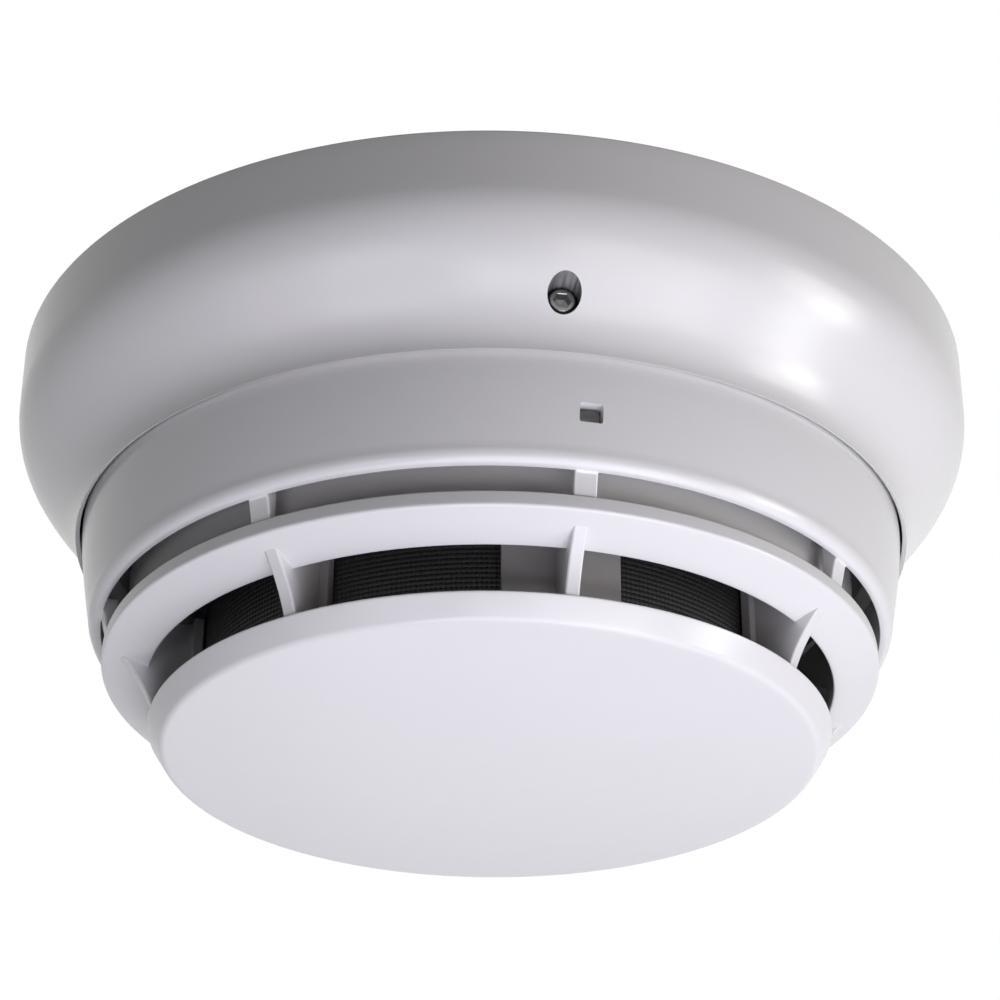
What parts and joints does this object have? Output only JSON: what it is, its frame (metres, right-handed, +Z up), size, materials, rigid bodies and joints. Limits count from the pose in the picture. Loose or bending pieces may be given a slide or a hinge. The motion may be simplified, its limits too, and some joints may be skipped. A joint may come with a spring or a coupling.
{
  "type": "heat detector",
  "caption": "Round white ceiling heat detector: a twist-lock sensing head with a finned air inlet under a domed cap, hanging in a flared mounting base.",
  "frame": {"origin": "centre of the base's ceiling face", "axes": "+Z up into the ceiling along the detector's axis, -Y out through the status window at the front, +X to the right seen from the front"},
  "size_m": [0.155, 0.155, 0.0661],
  "materials": {
    "base_white": "white moulded plastic, semi-gloss",
    "cover_white": "white moulded plastic, semi-gloss",
    "chassis_white": "off-white moulded plastic",
    "chamber_black": "matt black moulded plastic",
    "screen_black": "fine black mesh",
    "clear_pipe": "clear moulded plastic",
    "dark_steel": "plain steel",
    "zinc_screw": "zinc-plated steel",
    "zinc_plate": "zinc-plated steel",
    "tinned_spring": "tinned spring strip",
    "contact_brass": "plain brass",
    "board_black": "black solder mask",
    "chip_black": "moulded chip body",
    "can_blue": "sleeved can",
    "ferrite": "ferrite core",
    "lamp_red": "tinted lamp body",
    "bead_blue": "epoxy-dipped bead",
    "lamp_tint": "tinted lamp body"
  },
  "bodies": {
    "base": {"mounting_base": "base_white", "contact_spring_1": "tinned_spring", "contact_spring_2": "tinned_spring", "contact_spring_3": "tinned_spring", "contact_spring_4": "tinned_spring"},
    "lock": {"lock_screw": "dark_steel"},
    "clamp_1": {"clamp_plate_1": "zinc_plate"},
    "screw_1": {"terminal_screw_1": "zinc_screw"},
    "clamp_2": {"clamp_plate_2": "zinc_plate"},
    "screw_2": {"terminal_screw_2": "zinc_screw"},
    "clamp_3": {"clamp_plate_3": "zinc_plate"},
    "screw_3": {"terminal_screw_3": "zinc_screw"},
    "clamp_4": {"clamp_plate_4": "zinc_plate"},
    "screw_4": {"terminal_screw_4": "zinc_screw"},
    "head": {"head_cover": "cover_white", "head_chassis": "chassis_white", "contact_pad_1": "contact_brass", "contact_pad_2": "contact_brass", "contact_pad_3": "contact_brass", "contact_pad_4": "contact_brass", "circuit_board": "board_black", "board_screw_1": "zinc_screw", "board_screw_2": "zinc_screw", "board_screw_3": "zinc_screw", "controller_chip": "chip_black", "line_chip": "chip_black", "capacitor_1": "can_blue", "capacitor_2": "can_blue", "choke": "ferrite", "status_led": "lamp_red", "light_pipe": "clear_pipe", "sensor_post_1": "chassis_white", "sensor_post_2": "chassis_white", "thermistor_1": "bead_blue", "thermistor_2": "bead_blue", "chamber_base": "chamber_black", "photo_emitter": "lamp_tint", "photo_receiver": "lamp_tint", "labyrinth": "chamber_black", "insect_screen": "screen_black"}
  },
  "joints": [
    {"name": "head_twist", "type": "hinge", "parent": "base", "child": "head", "pos_m": [0, 0, 0], "axis": [0, 0, -1], "range_deg": [0, 18]},
    {"name": "lock_screw_turn", "type": "hinge", "parent": "base", "child": "lock", "pos_m": [-0.00491, -0.06682, -0.0224], "axis": [-0.0732, -0.9973, 0], "range_deg": [0, 1080]},
    {"name": "clamp_slide_1", "type": "slide", "parent": "base", "child": "clamp_1", "axis": [0, 0, -1], "range_m": [0, 0.0021]},
    {"name": "screw_turn_1", "type": "hinge", "parent": "clamp_1", "child": "screw_1", "pos_m": [0.02546, -0.02546, -0.0065], "axis": [0, 0, -1], "range_deg": [0, 1080]},
    {"name": "clamp_slide_2", "type": "slide", "parent": "base", "child": "clamp_2", "axis": [0, 0, -1], "range_m": [0, 0.0021]},
    {"name": "screw_turn_2", "type": "hinge", "parent": "clamp_2", "child": "screw_2", "pos_m": [0.02546, 0.02546, -0.0065], "axis": [0, 0, -1], "range_deg": [0, 1080]},
    {"name": "clamp_slide_3", "type": "slide", "parent": "base", "child": "clamp_3", "axis": [0, 0, -1], "range_m": [0, 0.0021]},
    {"name": "screw_turn_3", "type": "hinge", "parent": "clamp_3", "child": "screw_3", "pos_m": [-0.02546, 0.02546, -0.0065], "axis": [0, 0, -1], "range_deg": [0, 1080]},
    {"name": "clamp_slide_4", "type": "slide", "parent": "base", "child": "clamp_4", "axis": [0, 0, -1], "range_m": [0, 0.0021]},
    {"name": "screw_turn_4", "type": "hinge", "parent": "clamp_4", "child": "screw_4", "pos_m": [-0.02546, -0.02546, -0.0065], "axis": [0, 0, -1], "range_deg": [0, 1080]}
  ],
  "couplings": [
    {"joint": "screw_turn_1", "follows": "clamp_slide_1", "rad_per_m": 8975.9},
    {"joint": "screw_turn_2", "follows": "clamp_slide_2", "rad_per_m": 8975.9},
    {"joint": "screw_turn_3", "follows": "clamp_slide_3", "rad_per_m": 8975.9},
    {"joint": "screw_turn_4", "follows": "clamp_slide_4", "rad_per_m": 8975.9}
  ]
}
